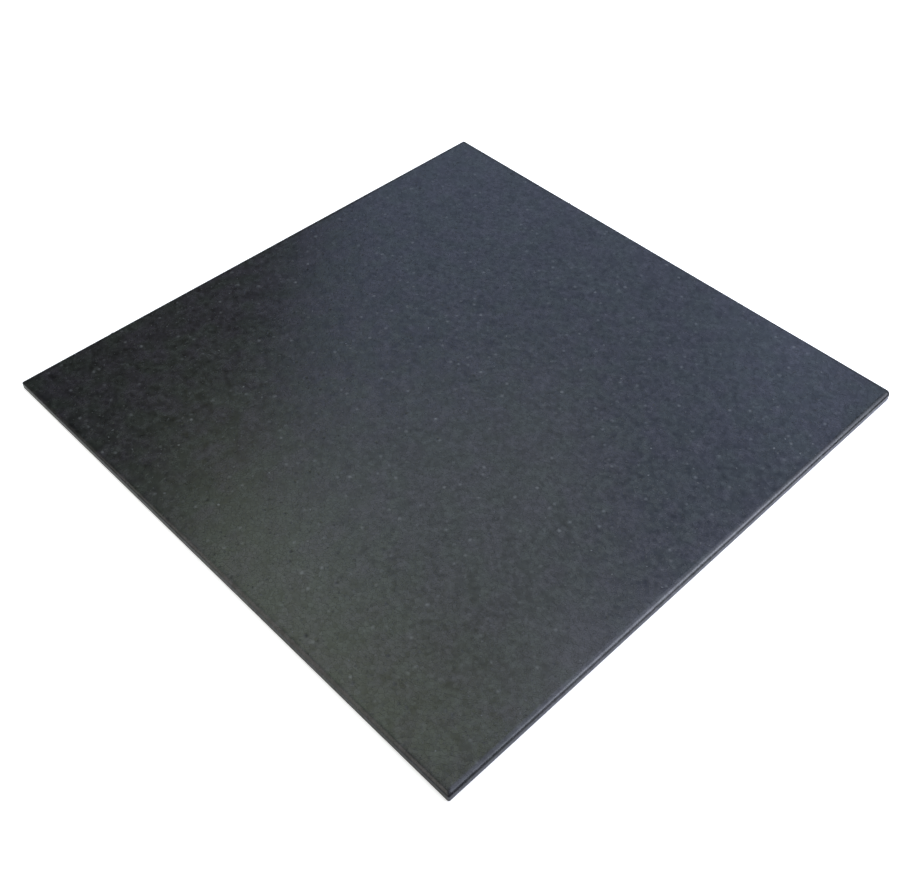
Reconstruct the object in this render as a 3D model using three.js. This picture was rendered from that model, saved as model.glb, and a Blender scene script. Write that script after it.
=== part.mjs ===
// A square gym floor tile, moulded in one piece from bound rubber crumb.
// It lies flat, with its rounded edge upwards. Millimetres, +Z up, and the
// origin is at the middle of the underside.

import * as THREE from "three";
import { ConvexGeometry } from "three/addons/geometries/ConvexGeometry.js";

// Overall size of the tile, flat side down.
const tileLength = 1000;
const tileWidth = 1000;
const tileThickness = 15;

// The rounded edge all round the top face: how far it reaches in from the side
// walls, and how far it drops below the top face.
const topEdgeWidth = 9;
const topEdgeDrop = 5;

// Rounding of the upright corners. Three are crisp, and the one at +X +Y is
// worn rounder.
const cornerRadius = 3;
const wornCornerRadius = 10;

// The slight rounding that the mould leaves under the walls.
const bottomEdgeRadius = 1;

// Divisions of each rounding. Every division is two straight steps.
const topEdgeDivisions = 6;
const bottomEdgeDivisions = 2;
const cornerDivisions = 4;

// Near black rubber with a satin sheen, which looks blue grey under soft light.
const rubber = new THREE.MeshStandardMaterial({
  name: "crumb rubber",
  color: 0x242526,
  roughness: 0.4,
  metalness: 0,
});

// The tile's outline from above, drawn a given distance inside its walls. A
// corner keeps what that distance leaves of its radius, and is sharp past it.
function outlineInside(inset) {
  const x = tileLength / 2 - inset;
  const y = tileWidth / 2 - inset;
  const corner = Math.max(cornerRadius - inset, 0);
  const worn = Math.max(wornCornerRadius - inset, 0);
  const outline = new THREE.Path();
  outline.moveTo(x, -y + corner);
  outline.lineTo(x, y - worn);
  outline.absarc(x - worn, y - worn, worn, 0, Math.PI / 2);
  outline.lineTo(-x + corner, y);
  outline.absarc(-x + corner, y - corner, corner, Math.PI / 2, Math.PI);
  outline.lineTo(-x, -y + corner);
  outline.absarc(-x + corner, -y + corner, corner, Math.PI, 1.5 * Math.PI);
  outline.lineTo(x - corner, -y);
  outline.absarc(x - corner, -y + corner, corner, 1.5 * Math.PI, 2 * Math.PI);
  return outline.getPoints(cornerDivisions);
}

// The tile's edge from its underside to its top face, as distances inside the
// walls and heights: a small round, the upright wall, then a quarter of an
// ellipse.
function edgeSection() {
  const lower = new THREE.Path();
  lower.absarc(bottomEdgeRadius, bottomEdgeRadius, bottomEdgeRadius, 1.5 * Math.PI, Math.PI, true);
  const upper = new THREE.Path();
  upper.absellipse(
    topEdgeWidth, tileThickness - topEdgeDrop, topEdgeWidth, topEdgeDrop, Math.PI, Math.PI / 2, true,
  );
  return lower.getPoints(bottomEdgeDivisions).concat(upper.getPoints(topEdgeDivisions));
}

// The tile has no hollow anywhere, so it is the hull of its outlines at every
// level of its edge.
function rubberTile() {
  const points = [];
  for (const level of edgeSection()) {
    for (const point of outlineInside(level.x)) {
      points.push(new THREE.Vector3(point.x, point.y, level.y));
    }
  }
  const tile = new THREE.Mesh(new ConvexGeometry(points), rubber);
  tile.name = "rubber_tile";
  return tile;
}

const gymTile = new THREE.Group();
gymTile.name = "gym_floor_tile";
gymTile.add(rubberTile());

export default gymTile;
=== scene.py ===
# A square gym floor tile of moulded crumb rubber, dressed round its fixed solid.
# Metres, +Z up, with the origin at the middle of the underside.

import math
from collections import namedtuple

import bmesh
import bpy
from mathutils import Matrix, Vector


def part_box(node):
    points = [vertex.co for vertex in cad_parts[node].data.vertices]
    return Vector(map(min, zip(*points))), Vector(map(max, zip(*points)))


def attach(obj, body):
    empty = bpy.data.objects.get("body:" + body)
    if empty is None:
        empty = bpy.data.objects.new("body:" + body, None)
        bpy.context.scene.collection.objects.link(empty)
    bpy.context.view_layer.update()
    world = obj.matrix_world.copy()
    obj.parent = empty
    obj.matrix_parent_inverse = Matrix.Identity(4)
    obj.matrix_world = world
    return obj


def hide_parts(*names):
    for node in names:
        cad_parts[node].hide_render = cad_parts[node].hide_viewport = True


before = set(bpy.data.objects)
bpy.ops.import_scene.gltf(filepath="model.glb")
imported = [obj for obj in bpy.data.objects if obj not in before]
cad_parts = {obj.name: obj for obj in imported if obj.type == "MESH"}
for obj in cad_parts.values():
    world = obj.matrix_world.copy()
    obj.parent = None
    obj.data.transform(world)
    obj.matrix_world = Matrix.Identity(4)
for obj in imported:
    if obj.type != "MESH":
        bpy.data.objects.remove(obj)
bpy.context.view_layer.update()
tile_low, tile_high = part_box("rubber_tile")

bl_info = {
    "name": "Rubber Gym Floor Tile",
    "version": (1, 0, 0),
    "blender": (4, 5, 0),
    "location": "3D View > Sidebar > Gym Tile",
    "description": "Makes a moulded crumb rubber floor tile, its granules and a studio for it",
    "category": "Object",
}


class SlabSizes(bpy.types.PropertyGroup):
    """Sizes of the moulded slab, taken from the solid where it has them"""

    length: bpy.props.FloatProperty(
        name="Length", description="Side of the tile along X",
        default=tile_high.x - tile_low.x, unit="LENGTH",
    )
    width: bpy.props.FloatProperty(
        name="Width", description="Side of the tile along Y",
        default=tile_high.y - tile_low.y, unit="LENGTH",
    )
    thickness: bpy.props.FloatProperty(
        name="Thickness", description="From the underside to the top face",
        default=tile_high.z - tile_low.z, unit="LENGTH",
    )
    edge_width: bpy.props.FloatProperty(
        name="Edge width", description="How far the rounded top edge reaches in from the walls",
        default=0.009, unit="LENGTH",
    )
    edge_drop: bpy.props.FloatProperty(
        name="Edge drop", description="How far the rounded edge drops below the top face",
        default=0.005, unit="LENGTH",
    )
    corner_radius: bpy.props.FloatProperty(
        name="Corner radius", description="Rounding of the three crisp upright corners",
        default=0.003, unit="LENGTH",
    )
    worn_corner_radius: bpy.props.FloatProperty(
        name="Worn corner radius", description="Rounding of the worn corner at +X +Y",
        default=0.010, unit="LENGTH",
    )
    underside_radius: bpy.props.FloatProperty(
        name="Underside radius", description="Slight rounding of the lower edge",
        default=0.001, unit="LENGTH",
    )
    cells: bpy.props.IntProperty(
        name="Cells", description="Mesh cells along one side of the top face", default=256,
    )
    underside_cells: bpy.props.IntProperty(
        name="Underside cells",
        description="Mesh cells along one side of the underside, a divisor of Cells",
        default=64,
    )


class ReliefSizes(bpy.types.PropertyGroup):
    """The uneven surface that pressed crumb leaves, cut into the slab"""

    crumb_size: bpy.props.FloatProperty(
        name="Crumb size", description="Width of the crumbs that show as small dips",
        default=0.0065, unit="LENGTH",
    )
    crumb_depth: bpy.props.FloatProperty(
        name="Crumb depth", description="Depth of the dips between crumbs",
        default=0.00012, unit="LENGTH",
    )
    wave_length: bpy.props.FloatProperty(
        name="Wave length", description="Width of the slow waves in the pressed faces",
        default=0.09, unit="LENGTH",
    )
    wave_depth: bpy.props.FloatProperty(
        name="Wave depth", description="Depth of the slow waves",
        default=0.0003, unit="LENGTH",
    )


class GranuleSizes(bpy.types.PropertyGroup):
    """Granules pressed into the faces, flush with the mould"""

    density: bpy.props.FloatProperty(
        name="Density", description="Granules on a square metre of face, at most", default=9000,
    )
    spacing: bpy.props.FloatProperty(
        name="Spacing", description="Smallest distance between the middles of two granules",
        default=0.005, unit="LENGTH",
    )
    pale_share: bpy.props.FloatProperty(
        name="Pale share", description="Share of the granules that are pale", default=0.07,
        subtype="FACTOR",
    )
    smallest: bpy.props.FloatProperty(
        name="Smallest", description="Width of the smallest granule", default=0.0018,
        unit="LENGTH",
    )
    largest: bpy.props.FloatProperty(
        name="Largest", description="Width of the largest granule", default=0.0052,
        unit="LENGTH",
    )
    flatness: bpy.props.FloatProperty(
        name="Flatness", description="Height of a granule as a share of its width",
        default=0.2, subtype="FACTOR",
    )
    dark_sink: bpy.props.FloatProperty(
        name="Dark sink", description="How far the dark granules stay below the mould's face",
        default=0.00005, unit="LENGTH",
    )


class RubberLook(bpy.types.PropertyGroup):
    """Colours, gloss and grain of the rubber"""

    dark: bpy.props.FloatVectorProperty(
        name="Dark rubber", description="The darkest granules", default=(0.0065, 0.0067, 0.0069),
        subtype="COLOR", min=0, max=1,
    )
    grey: bpy.props.FloatVectorProperty(
        name="Grey rubber", description="The palest of the dark granules",
        default=(0.0245, 0.0254, 0.0259), subtype="COLOR", min=0, max=1,
    )
    pale: bpy.props.FloatVectorProperty(
        name="Pale granule", description="The palest of the sparse pale granules",
        default=(0.085, 0.089, 0.091), subtype="COLOR", min=0, max=1,
    )
    fleck: bpy.props.FloatVectorProperty(
        name="Fleck", description="The soft paler flecks between the granules",
        default=(0.100, 0.104, 0.106), subtype="COLOR", min=0, max=1,
    )
    roughness: bpy.props.FloatProperty(
        name="Roughness", description="Middle roughness of the pressed faces", default=0.23,
        subtype="FACTOR",
    )
    skin_roughness: bpy.props.FloatProperty(
        name="Skin roughness", description="Roughness of the denser rubber round the edge",
        default=0.24, subtype="FACTOR",
    )
    facet_tilt: bpy.props.FloatProperty(
        name="Facet tilt", description="How far the granules' flat faces tilt, as a rise on a run",
        default=0.04,
    )
    joint_width: bpy.props.FloatProperty(
        name="Joint width",
        description="How far a joint reaches into a granule, as a share of the granule's width",
        default=0.12, subtype="FACTOR",
    )
    joint_depth: bpy.props.FloatProperty(
        name="Joint depth", description="Depth of the joints, as a share of a granule's width",
        default=0.006, subtype="FACTOR",
    )
    roughness_range: bpy.props.FloatProperty(
        name="Roughness range", description="How far the roughness varies up and down",
        default=0.07, subtype="FACTOR",
    )
    sheen_level: bpy.props.FloatProperty(
        name="Sheen level",
        description="Specular level of the rubber under the binder, where 0.5 is usual",
        default=0.39, subtype="FACTOR",
    )
    binder_cover: bpy.props.FloatProperty(
        name="Binder cover", description="The most that the film of binder covers a granule",
        default=0.4, subtype="FACTOR",
    )
    binder_roughness: bpy.props.FloatProperty(
        name="Binder roughness", description="Roughness of the film of binder", default=0.25,
        subtype="FACTOR",
    )
    skin_width: bpy.props.FloatProperty(
        name="Skin width", description="How far the denser edge reaches in from the walls",
        default=0.012, unit="LENGTH",
    )
    granule_size: bpy.props.FloatProperty(
        name="Granule size", description="Width of the packed granules", default=0.0050,
        unit="LENGTH",
    )
    clump_size: bpy.props.FloatProperty(
        name="Clump size", description="Width of the clumps of like granules", default=0.0095,
        unit="LENGTH",
    )
    patch_size: bpy.props.FloatProperty(
        name="Patch size", description="Width of the slow patches of tone and tint",
        default=0.03, unit="LENGTH",
    )
    grain_size: bpy.props.FloatProperty(
        name="Grain size", description="Width of the grain inside a granule", default=0.0008,
        unit="LENGTH",
    )
    spot_spacing: bpy.props.FloatProperty(
        name="Spot spacing", description="Distance between the places of flecks and pits",
        default=0.010, unit="LENGTH",
    )
    fleck_width: bpy.props.FloatProperty(
        name="Fleck width", description="Width of the largest soft fleck", default=0.0070,
        unit="LENGTH",
    )
    fleck_share: bpy.props.FloatProperty(
        name="Fleck share", description="Share of the places that hold a fleck", default=0.3,
        subtype="FACTOR",
    )
    pit_width: bpy.props.FloatProperty(
        name="Pit width", description="Width of the largest pit between granules",
        default=0.0065, unit="LENGTH",
    )
    pit_depth: bpy.props.FloatProperty(
        name="Pit depth", description="Depth of a pit, as a share of a granule's width",
        default=0.08, subtype="FACTOR",
    )
    pit_share: bpy.props.FloatProperty(
        name="Pit share", description="Share of the places that hold a pit", default=0.2,
        subtype="FACTOR",
    )


class StudioLook(bpy.types.PropertyGroup):
    """The pale floor and the soft lights round the tile"""

    floor_tone: bpy.props.FloatProperty(
        name="Floor tone", description="How much light the floor sends back", default=0.9,
        subtype="FACTOR",
    )
    floor_glow: bpy.props.FloatProperty(
        name="Floor glow", description="Light that the camera sees the floor give by itself",
        default=0.6,
    )
    floor_reach: bpy.props.FloatProperty(
        name="Floor reach", description="Half of the floor's side", default=40.0, unit="LENGTH",
    )
    softbox_distance: bpy.props.FloatProperty(
        name="Softbox distance", description="From the tile's middle to each softbox",
        default=3.0, unit="LENGTH",
    )
    haze: bpy.props.FloatProperty(
        name="Haze", description="Strength of the light that comes from all round",
        default=0.03,
    )
    backdrop: bpy.props.FloatProperty(
        name="Backdrop", description="Tone of the room behind the floor, as the camera sees it",
        default=0.75,
    )


class CameraView(bpy.types.PropertyGroup):
    """The viewpoint of the photograph"""

    azimuth: bpy.props.FloatProperty(
        name="Azimuth", description="Camera's turn from the -Y side towards +X",
        default=math.radians(44.244), subtype="ANGLE",
    )
    elevation: bpy.props.FloatProperty(
        name="Elevation", description="Camera's height angle above the floor",
        default=math.radians(47.820), subtype="ANGLE",
    )
    roll: bpy.props.FloatProperty(
        name="Roll", description="Camera's tilt, anticlockwise", default=math.radians(1.205),
        subtype="ANGLE",
    )
    distance: bpy.props.FloatProperty(
        name="Distance", description="From the camera to the point it looks at",
        default=1.8308, unit="LENGTH",
    )
    target_x: bpy.props.FloatProperty(
        name="Target X", description="Point on the floor that the camera looks at",
        default=0.1100, unit="LENGTH",
    )
    target_y: bpy.props.FloatProperty(
        name="Target Y", description="Point on the floor that the camera looks at",
        default=-0.0539, unit="LENGTH",
    )
    focal_length: bpy.props.FloatProperty(
        name="Focal length", description="For a sensor 36 mm wide", default=46.80,
        subtype="DISTANCE_CAMERA",
    )
    shift_x: bpy.props.FloatProperty(
        name="Shift X", description="Sideways shift, as a share of the picture's width",
        default=-0.0359,
    )


PROPERTY_GROUPS = (SlabSizes, ReliefSizes, GranuleSizes, RubberLook, StudioLook, CameraView)


def put(tree, kind, inputs=None, **settings):
    """A new node, with its settings, and its inputs set or linked by name or number."""
    node = tree.nodes.new(kind)
    for name, value in settings.items():
        setattr(node, name, value)
    for name, value in (inputs or {}).items():
        if isinstance(value, bpy.types.NodeSocket):
            tree.links.new(value, node.inputs[name])
        else:
            node.inputs[name].default_value = value
    return node


def compute(tree, operation, *values):
    """The result of one maths node, such as ADD, from sockets or plain values."""
    node = put(tree, "ShaderNodeMath", dict(enumerate(values)), operation=operation)
    return node.outputs[0]


def new_group(name, kind, inputs, outputs):
    """A node group with named sockets, and its input and output nodes."""
    group = bpy.data.node_groups.new(name, kind)
    for label, socket_type, value in inputs:
        socket = group.interface.new_socket(name=label, in_out="INPUT", socket_type=socket_type)
        if value is not None:
            socket.default_value = value
    for label, socket_type in outputs:
        group.interface.new_socket(name=label, in_out="OUTPUT", socket_type=socket_type)
    return group, group.nodes.new("NodeGroupInput"), group.nodes.new("NodeGroupOutput")


def outline(half_x, half_y, radius, worn_radius, straight_steps, corner_steps):
    """Points round a rounded rectangle, anticlockwise from the foot of its +X side."""
    points = []
    corners = (
        (1, 1, 0, worn_radius), (-1, 1, 90, radius), (-1, -1, 180, radius), (1, -1, 270, radius),
    )
    before = (half_x, -half_y + radius)
    for sign_x, sign_y, start, bend in corners:
        centre_x, centre_y = sign_x * (half_x - bend), sign_y * (half_y - bend)
        arc = []
        for step in range(corner_steps + 1):
            angle = math.radians(start + 90 * step / corner_steps)
            arc.append((centre_x + bend * math.cos(angle), centre_y + bend * math.sin(angle)))
        for step in range(straight_steps):
            share = step / straight_steps
            if step or not points:
                points.append((
                    before[0] + share * (arc[0][0] - before[0]),
                    before[1] + share * (arc[0][1] - before[1]),
                ))
        points += arc
        before = arc[-1]
    return points[:-1]


def edge_levels(sizes):
    """How far in from the walls, and how high, each ring of the slab's side lies."""
    r = sizes.underside_radius
    foot_steps, wall_steps, edge_steps = 3, 3, 9
    levels = [(sizes.edge_width, 0.0), (r, 0.0)]
    for step in range(1, foot_steps + 1):
        angle = math.pi / 2 * step / foot_steps
        levels.append((r * (1 - math.sin(angle)), r * (1 - math.cos(angle))))
    wall_top = sizes.thickness - sizes.edge_drop
    for step in range(1, wall_steps + 1):
        levels.append((0.0, r + (wall_top - r) * step / wall_steps))
    for step in range(1, edge_steps + 1):
        angle = math.pi / 2 * step / edge_steps
        levels.append((
            sizes.edge_width * (1 - math.cos(angle)), wall_top + sizes.edge_drop * math.sin(angle),
        ))
    return levels


# Corners of the slab's mesh that lie closer together than this become one.
WELD_DISTANCE = 1e-6
CORNER_STEPS = 6


def slab_mesh(sizes):
    """The slab as a closed mesh: fine cells on top, rings round the side, coarse cells below."""
    half_x, half_y = sizes.length / 2, sizes.width / 2
    vertices, faces = [], []
    rings = []
    for inset, height in edge_levels(sizes):
        ring = outline(
            half_x - inset, half_y - inset, max(sizes.corner_radius - inset, 0.0),
            max(sizes.worn_corner_radius - inset, 0.0), sizes.cells, CORNER_STEPS,
        )
        rings.append(range(len(vertices), len(vertices) + len(ring)))
        vertices += [(x, y, height) for x, y in ring]
    for lower, upper in zip(rings, rings[1:]):
        count = len(lower)
        for i in range(count):
            j = (i + 1) % count
            faces.append((lower[i], lower[j], upper[j], upper[i]))

    inner_x, inner_y = half_x - sizes.edge_width, half_y - sizes.edge_width
    first = len(vertices)
    row = sizes.cells + 1
    for j in range(row):
        for i in range(row):
            x = -inner_x + 2 * inner_x * i / sizes.cells
            y = -inner_y + 2 * inner_y * j / sizes.cells
            vertices.append((x, y, sizes.thickness))
    for j in range(sizes.cells):
        for i in range(sizes.cells):
            a = first + j * row + i
            faces.append((a, a + 1, a + row + 1, a + row))

    faces += underside_faces(vertices, sizes, inner_x, inner_y)
    mesh = bpy.data.meshes.new("moulded_slab")
    mesh.from_pydata(vertices, [], faces)
    built = bmesh.new()
    built.from_mesh(mesh)
    bmesh.ops.remove_doubles(built, verts=built.verts, dist=WELD_DISTANCE)
    built.to_mesh(mesh)
    built.free()
    mesh.polygons.foreach_set("use_smooth", [True] * len(mesh.polygons))
    return mesh


def underside_faces(vertices, sizes, inner_x, inner_y):
    """Coarse cells, whose outermost sides carry the ring's finer steps. Adds their vertices."""
    coarse, split = sizes.underside_cells, sizes.cells // sizes.underside_cells
    made = {}

    def vertex(i, j):
        if (i, j) not in made:
            made[i, j] = len(vertices)
            vertices.append((
                -inner_x + 2 * inner_x * i / sizes.cells,
                -inner_y + 2 * inner_y * j / sizes.cells,
                0.0,
            ))
        return made[i, j]

    def side(start, end, on_rim):
        steps = split if on_rim else 1
        return [
            vertex(
                start[0] + (end[0] - start[0]) * step // steps,
                start[1] + (end[1] - start[1]) * step // steps,
            )
            for step in range(steps)
        ]

    faces = []
    last = coarse - 1
    for j in range(coarse):
        for i in range(coarse):
            left, right = i * split, (i + 1) * split
            near, far = j * split, (j + 1) * split
            face = side((left, near), (left, far), i == 0)
            face += side((left, far), (right, far), j == last)
            face += side((right, far), (right, near), i == last)
            face += side((right, near), (left, near), j == 0)
            faces.append(face)
    return faces


RELIEF_SEED = 3.0


def relief_tree():
    """Geometry nodes that cut slow waves and the dips between crumbs into a mesh."""
    tree, start, end = new_group(
        "Pressed crumb relief", "GeometryNodeTree",
        [
            ("Geometry", "NodeSocketGeometry", None),
            ("Crumb Size", "NodeSocketFloat", 0.006),
            ("Crumb Depth", "NodeSocketFloat", 0.0001),
            ("Wave Length", "NodeSocketFloat", 0.1),
            ("Wave Depth", "NodeSocketFloat", 0.0003),
            ("Seed", "NodeSocketFloat", RELIEF_SEED),
            ("Material", "NodeSocketMaterial", None),
        ],
        [("Geometry", "NodeSocketGeometry")],
    )
    place = put(tree, "GeometryNodeInputPosition")
    normal = put(tree, "GeometryNodeInputNormal")
    cuts = []
    for size, depth, detail in (("Crumb Size", "Crumb Depth", 2.0),
                                ("Wave Length", "Wave Depth", 1.0)):
        noise = put(tree, "ShaderNodeTexNoise", {
            "Vector": place.outputs[0], "W": start.outputs["Seed"],
            "Scale": compute(tree, "DIVIDE", 1.0, start.outputs[size]), "Detail": detail,
        }, noise_dimensions="4D")
        cuts.append(compute(tree, "MULTIPLY", noise.outputs["Fac"], start.outputs[depth]))
    inward = compute(tree, "MULTIPLY", compute(tree, "ADD", *cuts), -1.0)
    offset = put(tree, "ShaderNodeVectorMath", {0: normal.outputs[0], "Scale": inward},
                 operation="SCALE")
    moved = put(tree, "GeometryNodeSetPosition",
                {"Geometry": start.outputs["Geometry"], "Offset": offset.outputs[0]})
    whole = put(tree, "GeometryNodeRealizeInstances", {"Geometry": moved.outputs[0]})
    coloured = put(tree, "GeometryNodeSetMaterial",
                   {"Geometry": whole.outputs[0], "Material": start.outputs["Material"]})
    tree.links.new(coloured.outputs[0], end.inputs["Geometry"])
    return tree


# How far up a normal may point on an upright wall, and has to on a level face.
UPRIGHT = 0.1
LEVEL = 0.99
# Seeds for where the granules lie, which lot each is in, and its turn, width, shape and tone.
SCATTER_SEED, LOT_SEED, TURN_SEED = 41, 71, 11
WIDTH_SEED, STRETCH_SEED, TONE_SEED = 23, 37, 53
# Granules lean a little, more of them are small than large, and the slimmest is this narrow.
LARGEST_LEAN = 0.3
SMALL_BIAS = 1.8
SLIMMEST = 0.6
# A granule's broken shape: the fineness of the breaks, and how far they shove its corners.
BREAK_FINENESS = 900.0
BREAK_REACH = (0.0011, 0.0011, 0.0002)


def granule_tree():
    """Geometry nodes that press flat, uneven granules into a mesh, flush with its mould."""
    tree, start, end = new_group(
        "Pressed granules", "GeometryNodeTree",
        [
            ("Geometry", "NodeSocketGeometry", None),
            ("Density", "NodeSocketFloat", 8000.0),
            ("Spacing", "NodeSocketFloat", 0.005),
            ("Lot From", "NodeSocketFloat", 0.0),
            ("Lot To", "NodeSocketFloat", 1.0),
            ("Smallest", "NodeSocketFloat", 0.001),
            ("Largest", "NodeSocketFloat", 0.003),
            ("Flatness", "NodeSocketFloat", 0.2),
            ("Mould Length", "NodeSocketFloat", 1.0),
            ("Mould Width", "NodeSocketFloat", 1.0),
            ("Mould Height", "NodeSocketFloat", 0.015),
            ("Seed", "NodeSocketInt", 1),
            ("Material", "NodeSocketMaterial", None),
        ],
        [("Geometry", "NodeSocketGeometry")],
    )
    normal = put(tree, "GeometryNodeInputNormal")
    facing = put(tree, "ShaderNodeSeparateXYZ", {0: normal.outputs[0]})
    seen = put(tree, "FunctionNodeCompare", {0: facing.outputs["Z"], 1: -UPRIGHT},
               operation="GREATER_THAN")
    upright = put(tree, "FunctionNodeCompare", {0: facing.outputs["Z"], 1: UPRIGHT},
                  operation="LESS_THAN")
    level = put(tree, "FunctionNodeCompare", {0: facing.outputs["Z"], 1: LEVEL},
                operation="GREATER_THAN")
    flat = put(tree, "FunctionNodeBooleanMath", {0: upright.outputs[0], 1: level.outputs[0]},
               operation="OR")
    chosen = put(tree, "FunctionNodeBooleanMath", {0: seen.outputs[0], 1: flat.outputs[0]},
                 operation="AND")
    scatter = put(tree, "GeometryNodeDistributePointsOnFaces", {
        "Mesh": start.outputs["Geometry"], "Selection": chosen.outputs[0],
        "Distance Min": start.outputs["Spacing"], "Density Max": start.outputs["Density"],
        "Seed": start.outputs["Seed"],
    }, distribute_method="POISSON")
    lot = put(tree, "FunctionNodeRandomValue", {2: 0.0, 3: 1.0, "Seed": LOT_SEED})
    above = put(tree, "FunctionNodeCompare", {0: lot.outputs[1], 1: start.outputs["Lot From"]},
                operation="GREATER_EQUAL")
    below = put(tree, "FunctionNodeCompare", {0: lot.outputs[1], 1: start.outputs["Lot To"]},
                operation="LESS_THAN")
    drawn = put(tree, "FunctionNodeBooleanMath", {0: above.outputs[0], 1: below.outputs[0]},
                operation="AND")
    ball = put(tree, "GeometryNodeMeshIcoSphere", {"Radius": 0.5, "Subdivisions": 1})
    spin = put(tree, "FunctionNodeRandomValue", {
        "Min": (0.0, 0.0, 0.0), "Max": (LARGEST_LEAN, LARGEST_LEAN, 2 * math.pi),
        "Seed": TURN_SEED,
    }, data_type="FLOAT_VECTOR")
    turn = put(tree, "FunctionNodeRotateEuler",
               {0: scatter.outputs["Rotation"], 1: spin.outputs[0]}, space="LOCAL")
    share = put(tree, "FunctionNodeRandomValue", {2: 0.0, 3: 1.0, "Seed": WIDTH_SEED})
    width = put(tree, "ShaderNodeMapRange", {
        0: compute(tree, "POWER", share.outputs[1], SMALL_BIAS),
        3: start.outputs["Smallest"], 4: start.outputs["Largest"],
    }).outputs[0]
    stretch = put(tree, "FunctionNodeRandomValue",
                  {2: SLIMMEST, 3: 1.0, "Seed": STRETCH_SEED})
    narrow = compute(tree, "MULTIPLY", width, stretch.outputs[1])
    height = compute(tree, "MULTIPLY", width, start.outputs["Flatness"])
    size = put(tree, "ShaderNodeCombineXYZ", {0: width, 1: narrow, 2: height})
    placed = put(tree, "GeometryNodeInstanceOnPoints", {
        "Points": scatter.outputs["Points"], "Selection": drawn.outputs[0],
        "Instance": ball.outputs["Mesh"], "Rotation": turn.outputs[0], "Scale": size.outputs[0],
    })
    tone = put(tree, "FunctionNodeRandomValue", {2: 0.0, 3: 1.0, "Seed": TONE_SEED})
    toned = put(tree, "GeometryNodeStoreNamedAttribute", {
        "Geometry": placed.outputs[0], "Name": "granule_tone", "Value": tone.outputs[1],
    }, data_type="FLOAT", domain="INSTANCE")
    whole = put(tree, "GeometryNodeRealizeInstances", {"Geometry": toned.outputs[0]})
    place = put(tree, "GeometryNodeInputPosition")
    rough = put(tree, "ShaderNodeTexNoise",
                {"Vector": place.outputs[0], "Scale": BREAK_FINENESS, "Detail": 1.0})
    middle = put(tree, "ShaderNodeVectorMath",
                 {0: rough.outputs["Color"], 1: (0.5, 0.5, 0.5)}, operation="SUBTRACT")
    shove = put(tree, "ShaderNodeVectorMath",
                {0: middle.outputs[0], 1: BREAK_REACH}, operation="MULTIPLY")
    broken = put(tree, "GeometryNodeSetPosition",
                 {"Geometry": whole.outputs[0], "Offset": shove.outputs[0]})
    flush = put(tree, "GeometryNodeSetPosition", {
        "Geometry": broken.outputs[0],
        "Position": inside_mould(tree, place.outputs[0], start),
    })
    coloured = put(tree, "GeometryNodeSetMaterial",
                   {"Geometry": flush.outputs[0], "Material": start.outputs["Material"]})
    tree.links.new(coloured.outputs[0], end.inputs["Geometry"])
    return tree


def inside_mould(tree, place, start):
    """Holds a position between the mould's walls, its floor and its lid."""
    corners = []
    for side, height in ((-0.5, 0.0), (0.5, 1.0)):
        parts = [
            compute(tree, "MULTIPLY", start.outputs[size], share)
            for size, share in (("Mould Length", side), ("Mould Width", side),
                                ("Mould Height", height))
        ]
        corners.append(put(tree, "ShaderNodeCombineXYZ", dict(enumerate(parts))).outputs[0])
    raised = put(tree, "ShaderNodeVectorMath", {0: place, 1: corners[0]}, operation="MAXIMUM")
    held = put(tree, "ShaderNodeVectorMath", {0: raised.outputs[0], 1: corners[1]},
               operation="MINIMUM")
    return held.outputs[0]


def run_tree(piece, tree, values):
    """Runs a geometry node tree on a piece and keeps the result as its plain mesh."""
    modifier = piece.modifiers.new("nodes", "NODES")
    modifier.node_group = tree
    for item in tree.interface.items_tree:
        if item.in_out == "INPUT" and item.name in values:
            modifier[item.identifier] = values[item.name]
    depsgraph = bpy.context.evaluated_depsgraph_get()
    mesh = bpy.data.meshes.new_from_object(
        piece.evaluated_get(depsgraph), preserve_all_data_layers=True, depsgraph=depsgraph,
    )
    piece.modifiers.remove(modifier)
    mesh.materials.clear()
    mesh.materials.append(values["Material"])
    mesh.polygons.foreach_set("material_index", [0] * len(mesh.polygons))
    piece.data = mesh


def new_piece(name, mesh):
    """A new object at the origin, with its place in its mesh."""
    piece = bpy.data.objects.new(name, mesh)
    bpy.context.scene.collection.objects.link(piece)
    return piece


# How finely, and how far, the cells of each pattern are bent out of shape.
MOSAIC_BEND, MOSAIC_BEND_REACH = 1.3, 0.22
SPOT_BEND, SPOT_BEND_REACH = 3.0, 0.2


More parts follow.
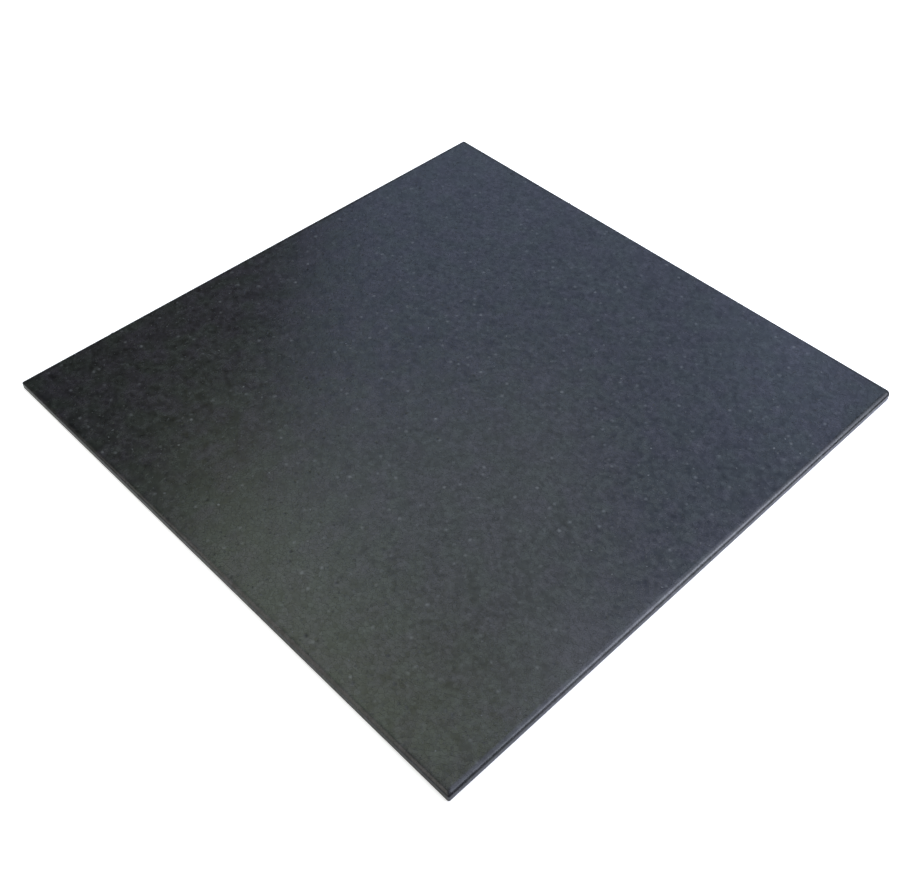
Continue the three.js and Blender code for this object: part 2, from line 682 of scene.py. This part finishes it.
def mosaic_group():
    """Shader group: granules packed side by side, each with its own tone, gloss and tilt."""
    group, start, end = new_group(
        "Granule mosaic", "ShaderNodeTree",
        [
            ("Coordinates", "NodeSocketVector", None),
            ("Granule Size", "NodeSocketFloat", 0.003),
            ("Joint Width", "NodeSocketFloat", 0.12),
            ("Joint Depth", "NodeSocketFloat", 0.04),
            ("Facet Tilt", "NodeSocketFloat", 0.05),
        ],
        [
            ("Tone", "NodeSocketFloat"), ("Gloss", "NodeSocketFloat"),
            ("Joint", "NodeSocketFloat"), ("Height", "NodeSocketFloat"),
        ],
    )
    scale = compute(group, "DIVIDE", 1.0, start.outputs["Granule Size"])
    spot = put(group, "ShaderNodeVectorMath",
               {0: start.outputs["Coordinates"], "Scale": scale}, operation="SCALE")
    wobble = put(group, "ShaderNodeTexNoise",
                 {"Vector": spot.outputs[0], "Scale": MOSAIC_BEND, "Detail": 2.0})
    bent = put(group, "ShaderNodeMix",
               {"Factor": MOSAIC_BEND_REACH, 4: spot.outputs[0], 5: wobble.outputs["Color"]},
               data_type="VECTOR")
    cells = put(group, "ShaderNodeTexVoronoi", {"Vector": bent.outputs[1], "Scale": 1.0},
                feature="F1")
    rims = put(group, "ShaderNodeTexVoronoi", {"Vector": bent.outputs[1], "Scale": 1.0},
               feature="DISTANCE_TO_EDGE")
    parts = put(group, "ShaderNodeSeparateColor", {0: cells.outputs["Color"]})
    joint = put(group, "ShaderNodeMapRange", {
        0: rims.outputs["Distance"], 1: 0.0, 2: start.outputs["Joint Width"], 3: 1.0, 4: 0.0,
    }, interpolation_type="SMOOTHSTEP")
    off = put(group, "ShaderNodeVectorMath", {0: bent.outputs[1], 1: cells.outputs["Position"]},
              operation="SUBTRACT")
    lean = put(group, "ShaderNodeVectorMath", {0: cells.outputs["Color"], 1: (0.5, 0.5, 0.5)},
               operation="SUBTRACT")
    facet = put(group, "ShaderNodeVectorMath", {0: off.outputs[0], 1: lean.outputs[0]},
                operation="DOT_PRODUCT")
    tilted = compute(group, "MULTIPLY", facet.outputs["Value"], start.outputs["Facet Tilt"])
    sunk = compute(group, "MULTIPLY", joint.outputs[0], start.outputs["Joint Depth"])
    height = compute(group, "SUBTRACT", tilted, sunk)
    for name, value in (("Tone", parts.outputs["Red"]), ("Gloss", parts.outputs["Green"]),
                        ("Joint", joint.outputs[0]), ("Height", height)):
        group.links.new(value, end.inputs[name])
    return group


def grain_group():
    """Shader group: the fine grain inside a granule, and slow patches over the whole tile."""
    group, start, end = new_group(
        "Grain and patches", "ShaderNodeTree",
        [
            ("Coordinates", "NodeSocketVector", None),
            ("Grain Size", "NodeSocketFloat", 0.0005),
            ("Clump Size", "NodeSocketFloat", 0.01),
            ("Patch Size", "NodeSocketFloat", 0.04),
        ],
        [
            ("Grain", "NodeSocketFloat"), ("Clump", "NodeSocketFloat"),
            ("Patch", "NodeSocketFloat"), ("Tint", "NodeSocketFloat"),
        ],
    )
    # Each field has its output's name, its size's name, its detail and its seed.
    fields = (
        ("Grain", "Grain Size", 3.0, 0.0), ("Clump", "Clump Size", 1.0, 3.0),
        ("Patch", "Patch Size", 3.0, 5.0), ("Tint", "Patch Size", 0.0, 9.0),
    )
    for name, size, detail, seed in fields:
        noise = put(group, "ShaderNodeTexNoise", {
            "Vector": start.outputs["Coordinates"], "W": seed,
            "Scale": compute(group, "DIVIDE", 1.0, start.outputs[size]), "Detail": detail,
        }, noise_dimensions="4D")
        group.links.new(noise.outputs["Fac"], end.inputs[name])
    return group


def skin_group():
    """Shader group: where the rubber lies against the mould's walls, 1 there and 0 inside."""
    group, start, end = new_group(
        "Moulded skin", "ShaderNodeTree",
        [
            ("Coordinates", "NodeSocketVector", None),
            ("Length", "NodeSocketFloat", 1.0),
            ("Width", "NodeSocketFloat", 1.0),
            ("Skin Width", "NodeSocketFloat", 0.01),
        ],
        [("Skin", "NodeSocketFloat")],
    )
    apart = put(group, "ShaderNodeSeparateXYZ", {0: start.outputs["Coordinates"]})
    depths = []
    for axis, size in (("X", "Length"), ("Y", "Width")):
        off = compute(group, "ABSOLUTE", apart.outputs[axis])
        half = compute(group, "MULTIPLY", start.outputs[size], 0.5)
        depths.append(compute(group, "SUBTRACT", half, off))
    skin = put(group, "ShaderNodeMapRange", {
        0: compute(group, "MINIMUM", *depths), 1: 0.0, 2: start.outputs["Skin Width"],
        3: 1.0, 4: 0.0,
    }, interpolation_type="SMOOTHSTEP")
    group.links.new(skin.outputs[0], end.inputs["Skin"])
    return group


def spots_group():
    """Shader group: soft uneven spots, at most one in each cell of a loose grid."""
    group, start, end = new_group(
        "Scattered spots", "ShaderNodeTree",
        [
            ("Coordinates", "NodeSocketVector", None),
            ("Spacing", "NodeSocketFloat", 0.01),
            ("Width", "NodeSocketFloat", 0.004),
            ("Share", "NodeSocketFloat", 0.2),
            ("Place", "NodeSocketFloat", 0.0),
        ],
        [("Mask", "NodeSocketFloat")],
    )
    scale = compute(group, "DIVIDE", 1.0, start.outputs["Spacing"])
    spot = put(group, "ShaderNodeVectorMath",
               {0: start.outputs["Coordinates"], "Scale": scale}, operation="SCALE")
    moved = put(group, "ShaderNodeVectorMath", {0: spot.outputs[0], 1: start.outputs["Place"]},
                operation="ADD")
    wobble = put(group, "ShaderNodeTexNoise",
                 {"Vector": moved.outputs[0], "Scale": SPOT_BEND, "Detail": 1.0})
    bent = put(group, "ShaderNodeMix",
               {"Factor": SPOT_BEND_REACH, 4: moved.outputs[0], 5: wobble.outputs["Color"]},
               data_type="VECTOR")
    cells = put(group, "ShaderNodeTexVoronoi", {"Vector": bent.outputs[1], "Scale": 1.0},
                feature="F1")
    parts = put(group, "ShaderNodeSeparateColor", {0: cells.outputs["Color"]})
    across = compute(group, "MULTIPLY", start.outputs["Width"], scale)
    spread = put(group, "ShaderNodeMapRange", {
        0: cells.outputs["Distance"], 1: 0.0, 2: compute(group, "MULTIPLY", across, 0.5),
        3: 1.0, 4: 0.0,
    }, interpolation_type="SMOOTHSTEP")
    chosen = compute(group, "LESS_THAN", parts.outputs["Red"], start.outputs["Share"])
    drawn = compute(group, "MULTIPLY", spread.outputs[0], chosen)
    mask = compute(group, "MULTIPLY", drawn, parts.outputs["Green"])
    group.links.new(mask, end.inputs["Mask"])
    return group


GROUP_MAKERS = {
    "Scattered spots": spots_group,
    "Granule mosaic": mosaic_group,
    "Grain and patches": grain_group,
    "Moulded skin": skin_group,
}


def use_group(tree, name, coordinates, values):
    """Places a shared shader group in a material, with this material's own values."""
    if name not in bpy.data.node_groups:
        GROUP_MAKERS[name]()
    node = put(tree, "ShaderNodeGroup", node_tree=bpy.data.node_groups[name])
    tree.links.new(coordinates, node.inputs["Coordinates"])
    for label, value in values.items():
        node.inputs[label].default_value = value
    return node


def mix_colour(tree, factor, a, b, blend="MIX"):
    """Mixes two colours, where factor, a and b are sockets or values."""
    node = put(tree, "ShaderNodeMix", {0: factor, 6: a, 7: b}, data_type="RGBA",
               blend_type=blend)
    return node.outputs[2]


def weigh(tree, *pairs):
    """The sum of values, each times its weight, round the middle value of 0.5."""
    total = 0.5
    for value, weight in pairs:
        off = compute(tree, "SUBTRACT", value, 0.5)
        total = compute(tree, "MULTIPLY_ADD", off, weight, total)
    return total


def use_grain(tree, place, look):
    """The shared grain and patches, at the rubber's own sizes."""
    return use_group(tree, "Grain and patches", place, {
        "Grain Size": look.grain_size, "Clump Size": look.clump_size,
        "Patch Size": look.patch_size,
    })


def empty_material(name):
    """A new material without nodes, and its node tree."""
    material = bpy.data.materials.new(name)
    material.use_nodes = True
    material.node_tree.nodes.clear()
    return material, material.node_tree


# How much each pattern counts in the rubber's tone, its gloss and its film of binder.
TONE_BY_GRANULE, TONE_BY_CLUMP, TONE_BY_PATCH = 0.4, 1.4, 0.9
GLOSS_BY_GRAIN, GLOSS_BY_GRANULE, GLOSS_BY_CLUMP = 0.3, 0.5, 2.0
FILM_BY_GRANULE, FILM_BY_CLUMP = 0.28, 1.1
# The tint drifts between these two, over this middle part of its noise.
GREENISH, BLUISH = (0.90, 1.03, 0.91, 1.0), (1.09, 0.965, 1.18, 1.0)
TINT_FROM, TINT_TO = 0.36, 0.64
# Flecks are faintest below the first value of the patches' noise, and full above the second.
FLECKS_FAINT, FLECKS_FULL, FAINTEST_FLECKS = 0.35, 0.6, 0.4
# Where the flecks and the pits start in the pattern that they share.
FLECK_PLACE, PIT_PLACE = 3.7, 91.3
# The dark tone of the joints and the painted shade in the pits, as a share of the darkest
# granule's, and how much joints take.
SHADE, SHADE_IN_JOINTS = 0.5, 0.5
# How much rougher a pit is, how high the grain is, and the relief that the skin keeps.
PIT_DULLING, GRAIN_HEIGHT, SKIN_RELIEF = 0.35, 0.006, 0.4


def rubber_material(look, slab):
    """Pressed crumb: packed dark granules of slightly different tones, with flecks, and pits
    darkened by painted shade.
    """
    material, tree = empty_material("pressed_crumb")
    place = put(tree, "ShaderNodeTexCoord").outputs["Object"]
    mosaic = use_group(tree, "Granule mosaic", place, {
        "Granule Size": look.granule_size, "Joint Width": look.joint_width,
        "Joint Depth": look.joint_depth, "Facet Tilt": look.facet_tilt,
    })
    grain = use_grain(tree, place, look)
    skin = use_group(tree, "Moulded skin", place, {
        "Length": slab.length, "Width": slab.width, "Skin Width": look.skin_width,
    })
    flecks = use_group(tree, "Scattered spots", place, {
        "Spacing": look.spot_spacing, "Width": look.fleck_width, "Share": look.fleck_share,
        "Place": FLECK_PLACE,
    })
    pits = use_group(tree, "Scattered spots", place, {
        "Spacing": look.spot_spacing, "Width": look.pit_width, "Share": look.pit_share,
        "Place": PIT_PLACE,
    })
    fade = put(tree, "ShaderNodeMapRange", {
        0: grain.outputs["Patch"], 1: FLECKS_FAINT, 2: FLECKS_FULL, 3: FAINTEST_FLECKS, 4: 1.0,
    })
    fleck = compute(tree, "MULTIPLY", flecks.outputs["Mask"], fade.outputs[0])
    pit = pits.outputs["Mask"]

    tone = weigh(tree, (mosaic.outputs["Tone"], TONE_BY_GRANULE),
                 (grain.outputs["Clump"], TONE_BY_CLUMP), (grain.outputs["Patch"], TONE_BY_PATCH))
    colour = mix_colour(tree, tone, (*look.dark, 1.0), (*look.grey, 1.0))
    tint = put(tree, "ShaderNodeMapRange",
               {0: grain.outputs["Tint"], 1: TINT_FROM, 2: TINT_TO, 3: 0.0, 4: 1.0})
    drift = mix_colour(tree, tint.outputs[0], GREENISH, BLUISH)
    colour = mix_colour(tree, 1.0, colour, drift, "MULTIPLY")
    # Joints take this as their own dark tone; pits take it as painted shade.
    shade = (*[SHADE * channel for channel in look.dark], 1.0)
    joint = compute(tree, "MULTIPLY", mosaic.outputs["Joint"], SHADE_IN_JOINTS)
    colour = mix_colour(tree, joint, colour, shade)
    colour = mix_colour(tree, fleck, colour, (*look.fleck, 1.0))
    # Painted shade: each pit is darkened as a recess would be, besides its dip in the bump.
    colour = mix_colour(tree, pit, colour, shade)

    gloss = weigh(tree, (grain.outputs["Grain"], GLOSS_BY_GRAIN),
                  (mosaic.outputs["Gloss"], GLOSS_BY_GRANULE),
                  (grain.outputs["Clump"], GLOSS_BY_CLUMP))
    pressed = put(tree, "ShaderNodeMapRange", {
        0: gloss, 1: 0.0, 2: 1.0, 3: look.roughness - look.roughness_range,
        4: look.roughness + look.roughness_range,
    })
    pitted = compute(tree, "MULTIPLY_ADD", pit, PIT_DULLING, pressed.outputs[0])
    rough = put(tree, "ShaderNodeMix",
                {0: skin.outputs["Skin"], 2: pitted, 3: look.skin_roughness})
    grained = compute(tree, "MULTIPLY_ADD", grain.outputs["Grain"], GRAIN_HEIGHT,
                      mosaic.outputs["Height"])
    relief = compute(tree, "MULTIPLY_ADD", pit, -look.pit_depth, grained)
    smoothing = put(tree, "ShaderNodeMapRange",
                    {0: skin.outputs["Skin"], 3: 1.0, 4: SKIN_RELIEF})
    bump = put(tree, "ShaderNodeBump", {
        "Strength": 1.0, "Distance": look.granule_size,
        "Height": compute(tree, "MULTIPLY", relief, smoothing.outputs[0]),
    })
    film = weigh(tree, (mosaic.outputs["Tone"], FILM_BY_GRANULE),
                 (grain.outputs["Clump"], FILM_BY_CLUMP))
    binder = put(tree, "ShaderNodeMapRange",
                 {0: film, 1: 0.0, 2: 1.0, 3: 0.0, 4: look.binder_cover})
    shader = put(tree, "ShaderNodeBsdfPrincipled", {
        "Base Color": colour, "Roughness": rough.outputs[0], "Normal": bump.outputs[0],
        "Specular IOR Level": look.sheen_level, "Coat Weight": binder.outputs[0],
        "Coat Roughness": look.binder_roughness,
    })
    put(tree, "ShaderNodeOutputMaterial", {"Surface": shader.outputs[0]})
    return material


# Few granules are near the pale end of their lot.
PALENESS_BIAS = 3.0
# A granule's roughness over the middle part of its grain, and the height of that grain.
GRAIN_FROM, GRAIN_TO, GRAIN_DULLING = 0.3, 0.7, 0.2
GRANULE_GRAIN_STRENGTH, GRANULE_GRAIN_HEIGHT = 0.3, 0.0001


def granule_material(name, low, high, look):
    """A granule's rubber, from low to high by the granule's own tone."""
    material, tree = empty_material(name)
    place = put(tree, "ShaderNodeTexCoord").outputs["Object"]
    grain = use_grain(tree, place, look)
    tone = put(tree, "ShaderNodeAttribute", attribute_name="granule_tone")
    paleness = compute(tree, "POWER", tone.outputs["Fac"], PALENESS_BIAS)
    colour = mix_colour(tree, paleness, (*low, 1.0), (*high, 1.0))
    rough = put(tree, "ShaderNodeMapRange", {
        0: grain.outputs["Grain"], 1: GRAIN_FROM, 2: GRAIN_TO, 3: look.roughness,
        4: look.roughness + GRAIN_DULLING,
    })
    bump = put(tree, "ShaderNodeBump", {
        "Strength": GRANULE_GRAIN_STRENGTH, "Distance": GRANULE_GRAIN_HEIGHT,
        "Height": grain.outputs["Grain"],
    })
    shader = put(tree, "ShaderNodeBsdfPrincipled", {
        "Base Color": colour, "Roughness": rough.outputs[0], "Normal": bump.outputs[0],
    })
    put(tree, "ShaderNodeOutputMaterial", {"Surface": shader.outputs[0]})
    return material


class GYMTILE_OT_make_slab(bpy.types.Operator):
    """Make the moulded slab with its rounded edges and pressed crumb surface"""

    bl_idname = "gym_tile.make_slab"
    bl_label = "Make Slab"

    def execute(self, context):
        scene = context.scene
        sizes, relief = scene.gym_tile_slab, scene.gym_tile_relief
        slab = new_piece("moulded_slab", slab_mesh(sizes))
        run_tree(slab, relief_tree(), {
            "Crumb Size": relief.crumb_size, "Crumb Depth": relief.crumb_depth,
            "Wave Length": relief.wave_length, "Wave Depth": relief.wave_depth,
            "Seed": RELIEF_SEED, "Material": rubber_material(scene.gym_tile_look, sizes),
        })
        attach(slab, "root")
        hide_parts("rubber_tile")
        return {"FINISHED"}


class GYMTILE_OT_press_granules(bpy.types.Operator):
    """Press the sparse pale granules and the darker ones into the slab"""

    bl_idname = "gym_tile.press_granules"
    bl_label = "Press Granules"

    def execute(self, context):
        scene = context.scene
        slab, look = scene.gym_tile_slab, scene.gym_tile_look
        granules = scene.gym_tile_granules
        tree = granule_tree()
        kinds = (
            ("pale_granules", 0.0, granules.pale_share, 0.0,
             granule_material("pale_granule", look.grey, look.pale, look)),
            ("dark_granules", granules.pale_share, 1.0, granules.dark_sink,
             granule_material("dark_granule", look.dark, look.grey, look)),
        )
        for name, lot_from, lot_to, sink, material in kinds:
            piece = new_piece(name, bpy.data.objects["moulded_slab"].data.copy())
            run_tree(piece, tree, {
                "Density": granules.density, "Spacing": granules.spacing,
                "Lot From": lot_from, "Lot To": lot_to,
                "Smallest": granules.smallest, "Largest": granules.largest,
                "Flatness": granules.flatness, "Mould Length": slab.length - 2 * sink,
                "Mould Width": slab.width - 2 * sink, "Mould Height": slab.thickness - sink,
                "Seed": SCATTER_SEED, "Material": material,
            })
            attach(piece, "root")
        return {"FINISHED"}


Softbox = namedtuple("Softbox", "name azimuth elevation size power colour")

DAYLIGHT = (0.56, 0.69, 1.00)
SKYLIGHT = (0.74, 0.80, 1.00)
RIM_LIGHT = (0.82, 0.86, 1.00)
WHITE_LIGHT = (1.00, 0.98, 0.90)
CEILING_LIGHT = (0.85, 1.00, 0.84)
WARM_LIGHT = (1.00, 1.00, 0.55)

# Azimuth is from +Y towards +X and elevation is above the floor, in degrees. The side of each
# square softbox is in metres, and its power in watts.
SOFTBOXES = (
    Softbox("window", -32, 42, 2.5, 21.7, DAYLIGHT),
    Softbox("window_low", -6, 34, 1.0, 1.8, DAYLIGHT),
    Softbox("wall_left", -71, 37, 1.2, 0.5, WHITE_LIGHT),
    Softbox("ceiling_left", -95, 67, 1.7, 12, CEILING_LIGHT),
    Softbox("ceiling_middle", -53, 62, 1.7, 4.7, WARM_LIGHT),
    Softbox("key_high", 44, 60, 2.8, 62, SKYLIGHT),
    Softbox("rim_right", 53, 41, 1.5, 33, RIM_LIGHT),
    Softbox("rim_back", 39, 32, 1.2, 12, RIM_LIGHT),
    Softbox("rim_low", 66, 9, 1.5, 11, RIM_LIGHT),
    Softbox("fill_front", -156, 42, 2.3, 28.5, WHITE_LIGHT),
    Softbox("fill_low", -160, 9, 1.0, 6, WHITE_LIGHT),
)


def hang_softbox(scene, softbox, studio):
    """An area lamp turned towards the tile's middle, which the camera doesn't see."""
    azimuth, elevation = math.radians(softbox.azimuth), math.radians(softbox.elevation)
    way = Vector((
        math.sin(azimuth) * math.cos(elevation), math.cos(azimuth) * math.cos(elevation),
        math.sin(elevation),
    ))
    lamp = bpy.data.lights.new(softbox.name, "AREA")
    lamp.shape = "SQUARE"
    lamp.size = softbox.size
    lamp.energy = softbox.power
    lamp.color = softbox.colour
    hung = bpy.data.objects.new(softbox.name, lamp)
    hung.location = way * studio.softbox_distance
    hung.rotation_euler = way.to_track_quat("Z", "Y").to_euler()
    hung.visible_camera = False
    scene.collection.objects.link(hung)


FLOOR_ROUGHNESS = 0.9


def lay_floor(studio):
    """A wide pale floor, which looks brighter to the camera than it lights the tile."""
    reach = studio.floor_reach
    mesh = bpy.data.meshes.new("floor")
    mesh.from_pydata(
        [(-reach, -reach, 0), (reach, -reach, 0), (reach, reach, 0), (-reach, reach, 0)],
        [], [(0, 1, 2, 3)],
    )
    floor = new_piece("floor", mesh)
    material, tree = empty_material("pale_floor")
    path = put(tree, "ShaderNodeLightPath")
    glow = compute(tree, "MULTIPLY", path.outputs["Is Camera Ray"], studio.floor_glow)
    tone = studio.floor_tone
    shader = put(tree, "ShaderNodeBsdfPrincipled", {
        "Base Color": (tone, tone, tone, 1.0), "Roughness": FLOOR_ROUGHNESS,
        "Emission Color": (1.0, 1.0, 1.0, 1.0), "Emission Strength": glow,
    })
    put(tree, "ShaderNodeOutputMaterial", {"Surface": shader.outputs[0]})
    mesh.materials.append(material)


def light_room(scene, studio):
    """Faint light from all round, with a pale backdrop for the camera."""
    world = bpy.data.worlds.new("studio")
    world.use_nodes = True
    tree = world.node_tree
    path = put(tree, "ShaderNodeLightPath")
    strength = put(tree, "ShaderNodeMapRange", {
        0: path.outputs["Is Camera Ray"], 3: studio.haze, 4: studio.backdrop,
    })
    background = tree.nodes["Background"]
    background.inputs["Color"].default_value = (1.0, 1.0, 1.0, 1.0)
    tree.links.new(strength.outputs[0], background.inputs["Strength"])
    scene.world = world


def place_camera(scene, view):
    """The camera of the photograph."""
    back = Vector((
        math.sin(view.azimuth) * math.cos(view.elevation),
        -math.cos(view.azimuth) * math.cos(view.elevation),
        math.sin(view.elevation),
    ))
    level = Vector((math.cos(view.azimuth), math.sin(view.azimuth), 0.0))
    upright = back.cross(level)
    right = math.cos(view.roll) * level + math.sin(view.roll) * upright
    up = back.cross(right)
    data = bpy.data.cameras.new("camera")
    data.sensor_width = 36.0
    data.lens = view.focal_length
    data.shift_x = view.shift_x
    camera = bpy.data.objects.new("camera", data)
    scene.collection.objects.link(camera)
    target = Vector((view.target_x, view.target_y, 0.0))
    turn = Matrix((right, up, back)).transposed().to_4x4()
    camera.matrix_world = Matrix.Translation(target + back * view.distance) @ turn
    scene.camera = camera


class GYMTILE_OT_set_stage(bpy.types.Operator):
    """Lay the pale floor, hang the softboxes and set the camera"""

    bl_idname = "gym_tile.set_stage"
    bl_label = "Set Stage"

    def execute(self, context):
        scene = context.scene
        scene.view_settings.view_transform = "Standard"
        studio = scene.gym_tile_studio
        lay_floor(studio)
        for softbox in SOFTBOXES:
            hang_softbox(scene, softbox, studio)
        light_room(scene, studio)
        place_camera(scene, scene.gym_tile_camera)
        return {"FINISHED"}


class GYMTILE_PT_parts(bpy.types.Panel):
    """Lists the steps that make the tile"""

    bl_idname = "GYMTILE_PT_parts"
    bl_label = "Rubber Gym Floor Tile"
    bl_space_type = "VIEW_3D"
    bl_region_type = "UI"
    bl_category = "Gym Tile"

    def draw(self, context):
        for operator in OPERATORS:
            self.layout.operator(operator.bl_idname)


OPERATORS = (GYMTILE_OT_make_slab, GYMTILE_OT_press_granules, GYMTILE_OT_set_stage)
SCENE_PROPERTIES = {
    "gym_tile_slab": SlabSizes,
    "gym_tile_relief": ReliefSizes,
    "gym_tile_granules": GranuleSizes,
    "gym_tile_look": RubberLook,
    "gym_tile_studio": StudioLook,
    "gym_tile_camera": CameraView,
}


def register():
    for made in (*PROPERTY_GROUPS, *OPERATORS, GYMTILE_PT_parts):
        bpy.utils.register_class(made)
    for name, group in SCENE_PROPERTIES.items():
        setattr(bpy.types.Scene, name, bpy.props.PointerProperty(type=group))


def unregister():
    for name in SCENE_PROPERTIES:
        delattr(bpy.types.Scene, name)
    for made in reversed((*PROPERTY_GROUPS, *OPERATORS, GYMTILE_PT_parts)):
        bpy.utils.unregister_class(made)


def main():
    register()
    bpy.ops.gym_tile.make_slab()
    bpy.ops.gym_tile.press_granules()
    bpy.ops.gym_tile.set_stage()


if __name__ == "__main__":
    main()
